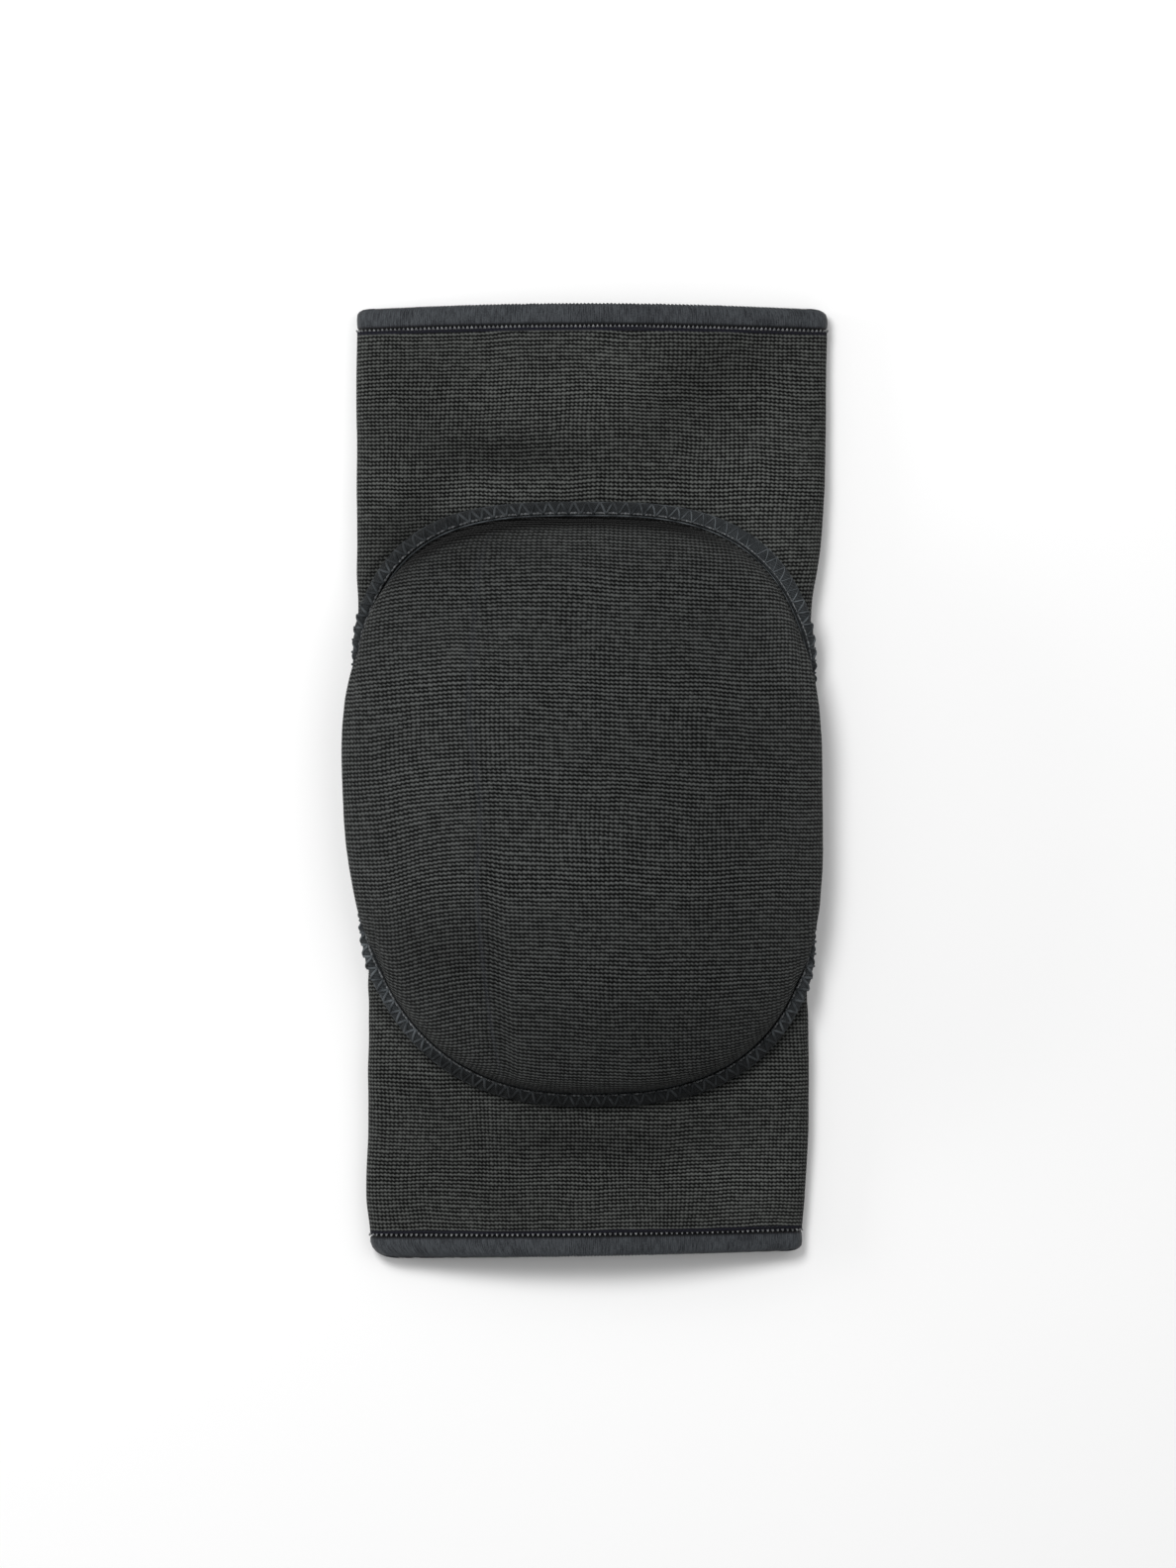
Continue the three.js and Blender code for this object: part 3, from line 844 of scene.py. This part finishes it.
def onDisc(across, up):
    # the columns bow to the left at both ends, so that the crease runs straight
    column, row = 2 * across - 1, 2 * up - 1
    bowed = column - crease["bow"] * row ** 2 * (1 - column ** 2)
    return column, row, bowed * math.sqrt(1 - row ** 2 / 2), row * math.sqrt(1 - bowed ** 2 / 2)


def besideCrease(column, row):
    # the dome's columns lie wider apart at its crown, by girthSlope
    reach = math.sqrt(1 - row ** 2 / 2) * pad["leftReach"] * crease["girthSlope"]
    return (column - crease["column"]) * reach


def coverPlace(across, up):
    column, row, discAcross, discUp = onDisc(across, up)
    girth, along, lift, overhang = domeAt(discAcross, discUp, 0)
    climb = 1 - min(math.hypot(discAcross, discUp), 1)
    angle = math.atan2(discUp, discAcross)
    ripples = rippleAt(pad["slowRipple"], girth, along) + rippleAt(pad["fineRipple"], girth, along)
    fade = smooth(0, pad["puckerStart"], climb) * math.exp(-climb * pad["puckerFall"])
    folds = pad["pucker"] * puckerBeat(pad, angle) * fade
    relief = (ripples * smooth(0, pad["rippleStart"], climb) + folds
              + creaseLift(besideCrease(column, row), along))
    tuck = (pad["tuck"] * smooth(*pad["tuckTurn"], math.sin(angle))
            * smooth(0, pad["tuckFull"], climb) * (1 - smooth(pad["tuckFull"], pad["tuckEnd"], climb)))
    inward = Vector((-math.cos(angle), -math.sin(angle), 0)) * tuck
    return girthPoint(girth, along, lift + pad["clearance"] + relief) + overhang + inward


swell = {
    "columns": 96, "rows": 76, "frames": 20, "pressure": 4, "mass": 0.3, "stiffness": 15,
    "shear": 5, "bend": 0.5, "cap": 0.8,
}


def swollen():
    # cloth held at its rim and pressed outwards by the foam: each point's capped move, in millimetres
    bm = bmesh.new()
    shares = clothGrid(bm, swell["columns"], swell["rows"], coverPlace, lambda across, up: (across, up))
    places = [shares[vertex] for vertex in bm.verts]
    mesh = bpy.data.meshes.new("swell")
    bm.to_mesh(mesh)
    bm.free()
    cloth = bpy.data.objects.new("swell", mesh)
    scene.collection.objects.link(cloth)
    rim = [index for index, (across, up) in enumerate(places)
           if min(across, 1 - across, up, 1 - up) < 0.5 / swell["columns"]]
    cloth.vertex_groups.new(name="rim").add(rim, 1, "REPLACE")
    modifier = cloth.modifiers.new("swell", "CLOTH")
    modifier.collision_settings.use_collision = False
    settings = modifier.settings
    settings.vertex_group_mass = "rim"
    settings.mass = swell["mass"]
    settings.tension_stiffness = settings.compression_stiffness = swell["stiffness"]
    settings.shear_stiffness = swell["shear"]
    settings.bending_stiffness = swell["bend"]
    settings.use_pressure = True
    settings.uniform_pressure_force = swell["pressure"]
    settings.effector_weights.gravity = 0
    for number in range(1, swell["frames"] + 1):
        scene.frame_set(number)
    shown = cloth.evaluated_get(bpy.context.evaluated_depsgraph_get())
    moves = {}
    for (across, up), start, end in zip(places, mesh.vertices, shown.data.vertices):
        move = (end.co - start.co) / mm
        cap = min(1, swell["cap"] / max(move.length, swell["cap"]))
        moves[round(across * swell["columns"]), round(up * swell["rows"])] = move * cap
    scene.frame_set(1)
    bpy.data.objects.remove(cloth)
    bpy.data.meshes.remove(mesh)
    return moves


def swellAt(moves, across, up):
    if not moves:
        return Vector()
    column, row = across * swell["columns"], up * swell["rows"]
    left, low = min(int(column), swell["columns"] - 1), min(int(row), swell["rows"] - 1)
    under = moves[left, low].lerp(moves[left + 1, low], column - left)
    over = moves[left, low + 1].lerp(moves[left + 1, low + 1], column - left)
    return under.lerp(over, row - low)


def coverReach(girth, along):
    # the knit is stretched where the dome is steep, so its columns look nearly even from the front
    length, last = 0, girthPoint(0, along, domeLift(0, along))
    for step in range(1, pad["arcSteps"] + 1):
        at = girth * math.sin(step / pad["arcSteps"] * math.pi / 2)
        here = girthPoint(at, along, domeLift(at, along))
        chord = (here - last).length
        length += lerp(max(abs(here.x - last.x), chord / 2), chord, pad["stretch"])
        last = here
    return math.copysign(length, girth)


def coverWeave(across, up):
    column, row, discAcross, discUp = onDisc(across, up)
    girth, along, _, _ = domeAt(discAcross, discUp, 0)
    acrossArc = coverReach(girth, along)
    alongArc = arcOver(lambda at: domeLift(girth, at - pad["drop"]), along + pad["drop"])
    past = max(0, lerp(*pad["denseFrom"], smooth(*pad["denseAcross"], girth)) - alongArc)
    denser = pad["denser"] * past ** 2 / (past + pad["denseOver"])
    return acrossArc, alongArc - denser - courseClimb(besideCrease(column, row), along)


coverLook = {
    "column": 1.19, "row": 1.12, "open": 0.38, "drift": 2.0,
    "hole": (0.0022, 0.0024, 0.0024, 1), "yarn": (0.0885, 0.093, 0.091, 1),
    # the colour of the painted shade beside the crease
    "crease": (0.02, 0.022, 0.027, 1),
}
coverKnit = knitMaterial("coverKnit", coverLook)
coverShade = {
    # painted shadow under the seam towards the thigh and the calf, and painted shade and light on parts
    # of the dome
    "hidden": 1.2, "reach": 1.5, "thigh": 0.85, "thighTurn": (0.7, 0.92), "thighLater": 0.1,
    "calf": 0.1,
    "blots": [(-38, -46, 17, 13, 0, 0.36), (10, -72, 60, 22, 0, 0.2), (38, -6, 18, 34, 0, 0.07),
              (-10, 54, 70, 24, 0, 0.1), (-55, 20, 12, 45, 0, 0.14), (-26, 57, 32, 11, 8, 0.1),
              (-32, 61, 20, 6, 22, 0.28), (54, 38, 20, 9, 115, -0.26)],
}


def coverShadeAt(place):
    beyond, angle = seamPlace(place.x, place.y)
    inside = max(0, -beyond - seam["width"] - coverShade["hidden"])
    later = coverShade["thighLater"] * math.cos(angle)
    thighward = smooth(*coverShade["thighTurn"], math.sin(angle) - later)
    deepest = thighward * coverShade["thigh"] + calfward(angle) * coverShade["calf"]
    near = math.exp(-(inside / coverShade["reach"]) ** 2)
    return blotsAt(coverShade["blots"], place) + deepest * near


bm = shadedMesh()
creaseShadeLayer = bm.verts.layers.float.new("crease")
moves = swollen()
print("cover has swollen by at most", max([move.length for move in moves.values()], default=0))
shares = clothGrid(bm, pad["columns"], pad["rows"],
                   lambda across, up: coverPlace(across, up) + swellAt(moves, across, up), coverWeave)
# painted shade: a darker line beside the crease, on its groove's side, as strong as the crease
for vertex, (across, up) in shares.items():
    column, row, discAcross, discUp = onDisc(across, up)
    beside = besideCrease(column, row)
    along = domeAt(discAcross, discUp, 0)[1]
    near = math.exp(-((beside - crease["paintedShadeAt"]) / crease["paintedShadeWidth"]) ** 2)
    vertex[creaseShadeLayer] = crease["paintedShade"] * creaseStrength(along) ** crease["paintedShadePower"] * near
castShade(bm, coverShadeAt)
coverPiece = newPiece("pad_cover_knit", bm, coverKnit, "cover", "pad_cover")
solidify(coverPiece, pad["wall"])
print("cover is made")


def foamPlace(base):
    inset = pad["wall"] + pad["ease"]

    def place(across, up):
        _, _, discAcross, discUp = onDisc(across, up)
        girth, along, lift, overhang = domeAt(discAcross, discUp, inset)
        if base:
            return girthPoint(girth, along, pad["ease"])
        return girthPoint(girth, along, lift + pad["ease"]) + overhang
    return place


foamLook = {
    "finish": {"Roughness": 0.95, "Specular IOR Level": 0.2},
    "cell": 0.7, "contrast": (0, 0.7), "depth": 0.1,
    "wall": (0.09, 0.09, 0.09, 1), "hole": (0.03, 0.03, 0.03, 1),
}


def foamMaterial():
    material, wire = startMaterial("closedFoam", foamLook["finish"])
    place = wire.node("ShaderNodeTexCoord", {}, {}, 3).scaled(1 / mm)
    cell = wire.node("ShaderNodeTexVoronoi", {}, {"Vector": place, "Scale": 1 / foamLook["cell"]})
    colour = cell.between(*foamLook["contrast"]).mix(foamLook["wall"], foamLook["hole"])
    return finishMaterial(material, colour, 1 - cell, foamLook["depth"])


bm = bmesh.new()
clothGrid(bm, pad["foamFaces"], pad["foamFaces"], foamPlace(False), lambda across, up: (across, up))
clothGrid(bm, pad["foamFaces"], pad["foamFaces"], foamPlace(True), lambda across, up: (across, up))
closeUp(bm)
newPiece("foam_core", bm, foamMaterial(), "foam", "foam_pad")
print("foam is made")


def seamPlan(angle, out):
    x, y = math.cos(angle), math.sin(angle)
    rim = ovalRim(x, y)
    outward = pad["clearance"] + seam["width"] / 2 + out
    return (x * rim * (padReach(x) + outward),
            y * rim * (pad["length"] / 2 + outward) - pad["drop"])


fineAngles = [2 * math.pi * step / seam["angleSteps"] for step in range(seam["angleSteps"] + 1)]
lengths = [0.0]
for one, two in zip(fineAngles, fineAngles[1:]):
    lengths.append(lengths[-1] + math.dist(seamPlan(one, 0), seamPlan(two, 0)))


def seamAngle(share):
    # the angle at a share of the way round, by length
    at = (share % 1) * lengths[-1]
    index = max(bisect_left(lengths, at), 1)
    part = (at - lengths[index - 1]) / (lengths[index] - lengths[index - 1])
    return lerp(fineAngles[index - 1], fineAngles[index], part)


def ridgePoint(share, arch, proud):
    # arch runs from 0 at the ridge's inner foot to 1 at its outer foot
    angle = seamAngle(share)
    flat = nearAngle(angle, seam["flatAt"], seam["flatSpan"])
    out = -seam["width"] / 2 * (math.cos(math.pi * arch) - seam["flatWidth"] * flat * arch)
    height = seam["height"] * (1 - seam["flatHeight"] * flat)
    lift = height * math.sin(math.pi * arch) ** seam["squareness"]
    plump = 1 + seam["zigzagSwell"] * math.cos(2 * math.pi * share * seam["zigzags"])
    girth, along = seamPlan(angle, out * (1 + proud / seam["width"]))
    return girthPoint(girth, along, lift * plump + proud)


def ridgePlace(across, up):
    # up the arch, and back along the ridge's underside by way of its middle
    steps = seam["archSteps"] + 2
    step = round(up * steps) % steps
    if step > seam["archSteps"]:
        girth, along = seamPlan(seamAngle(across), 0)
        return girthPoint(girth, along, 0)
    return ridgePoint(across, step / seam["archSteps"], 0)


def ridgeWeave(across, up):
    return across * lengths[-1], up * seam["wrap"]


def seamShadeAt(place):
    # the seam is in full light towards the thigh and in painted shadow of the pad towards the calf;
    # painted light lifts the thread at its inner foot, and the spots make it darker or lighter
    beyond, angle = seamPlace(place.x, place.y)
    return (seam["shadow"] * calfward(angle)
            - seam["innerPaintedLight"] * math.exp(-((beyond - seam["innerAt"]) / seam["innerReach"]) ** 2)
            + sum(depth * nearAngle(angle, middle, span) for middle, span, depth in seam["spots"]))


overlock = {
    "finish": {"Roughness": 0.8, "Specular IOR Level": 0.12, "Sheen Weight": 0.03},
    "strand": 0.42, "lean": 0.5, "strandTone": 0.5, "fleckLength": 0.5, "fleck": 1.6,
    "cloudLength": 3.5, "cloud": 1.4, "contrast": (-0.9, 0.9), "depth": 0.12,
    "dark": (0.0055, 0.0064, 0.0072, 1), "light": (0.0285, 0.032, 0.0345, 1),
}


def overlockMaterial():
    material, wire = startMaterial("overlock", overlock["finish"])
    place = surfacePlace(wire)
    across, along = place.part(0), place.part(1)
    strand = ((across + along * overlock["lean"]) / overlock["strand"]).wave()
    fleck = place.noise(overlock["fleckLength"], 2.0) - 0.5
    cloud = place.noise(overlock["cloudLength"], 1.0) - 0.5
    uneven = strand * overlock["strandTone"] + fleck * overlock["fleck"] + cloud * overlock["cloud"]
    colour = uneven.between(*overlock["contrast"]).mix(overlock["dark"], overlock["light"])
    shaded = colour.scaled(1 - wire.attribute("shade"))
    return finishMaterial(material, shaded, strand, overlock["depth"])


bm = shadedMesh()
ridgeSteps = seam["zigzags"] * seam["stepsPerZigzag"]
clothGrid(bm, ridgeSteps, seam["archSteps"] + 2, ridgePlace, ridgeWeave)
closeUp(bm)
castShade(bm, seamShadeAt)
newPiece("pad_seam_ridge", bm, overlockMaterial(), "thread", "pad_seam")


def seamThreadRound(bm, count, archAt, proud, radiusAt):
    # a thread that runs once round the pad on the ridge
    shares = [step / count for step in range(count)]
    points = [ridgePoint(share, archAt(step), proud) for step, share in enumerate(shares)]
    normals = [ridgePoint(share, archAt(step), 1) - ridgePoint(share, archAt(step), 0)
               for step, share in enumerate(shares)]
    flats = [nearAngle(seamAngle(share), seam["flatAt"], seam["flatSpan"]) for share in shares]
    radii = [radiusAt(step) * (1 - seam["flatThread"] * flat) for step, flat in enumerate(flats)]
    tube(bm, points, normals, radii, seam["threadSides"], True)


def swing(step):
    turn = 2 * math.pi * step / seam["threadSteps"]
    return 0.5 + seam["swing"] * math.asin(seam["swingPoint"] * math.sin(turn)) * 2 / math.pi


def beadRadius(step):
    swelling = abs(math.sin(math.pi * step / seam["beadSteps"]))
    return lerp(seam["beadWaist"], seam["beadRadius"], swelling)


bm = shadedMesh()
seamThreadRound(bm, seam["zigzags"] * seam["threadSteps"], swing, seam["threadProud"],
                lambda step: seam["threadRadius"])
seamThreadRound(bm, seam["beads"] * 2, lambda step: seam["cordArch"], seam["cordProud"],
                lambda step: seam["cordRadius"])
seamThreadRound(bm, seam["beads"] * 2, lambda step: seam["innerArch"], seam["innerProud"],
                lambda step: seam["innerRadius"])
closeUp(bm)
castShade(bm, seamShadeAt)
newPiece("pad_seam_threads", bm, yarnMaterial("seamThread", *yarn["seam"]), "thread")
bm = shadedMesh()
seamThreadRound(bm, seam["beads"] * seam["beadSteps"], lambda step: seam["beadArch"],
                seam["beadProud"], beadRadius)
closeUp(bm)
castShade(bm, seamShadeAt)
newPiece("pad_seam_beads", bm, yarnMaterial("beadThread", *yarn["bead"]), "thread")
print("seam is made")

# Floor

floorLook = {
    "finish": {"Roughness": 0.9, "Specular IOR Level": 0.1},
    "dark": (0.88, 0.88, 0.88, 1), "light": (0.92, 0.92, 0.92, 1),
    "patch": 400, "grain": 2, "depth": 0.01,
}
floorMaterial, floorWire = startMaterial("paleFloor", floorLook["finish"])
floorPlace = floorWire.node("ShaderNodeTexCoord", {}, {}, 3)
floorTone = floorPlace.noise(floorLook["patch"] * mm, 1.0).mix(floorLook["dark"], floorLook["light"])
floorGrain = floorPlace.noise(floorLook["grain"] * mm, 1.0)
finishMaterial(floorMaterial, floorTone, floorGrain, floorLook["depth"])
bm = bmesh.new()
bmesh.ops.create_grid(bm, x_segments=1, y_segments=1, size=view["floorSize"] / 2 * mm)
floorMesh = bpy.data.meshes.new("floor")
bm.to_mesh(floorMesh)
bm.free()
floorMesh.materials.append(floorMaterial)
floor = bpy.data.objects.new("floor", floorMesh)
scene.collection.objects.link(floor)
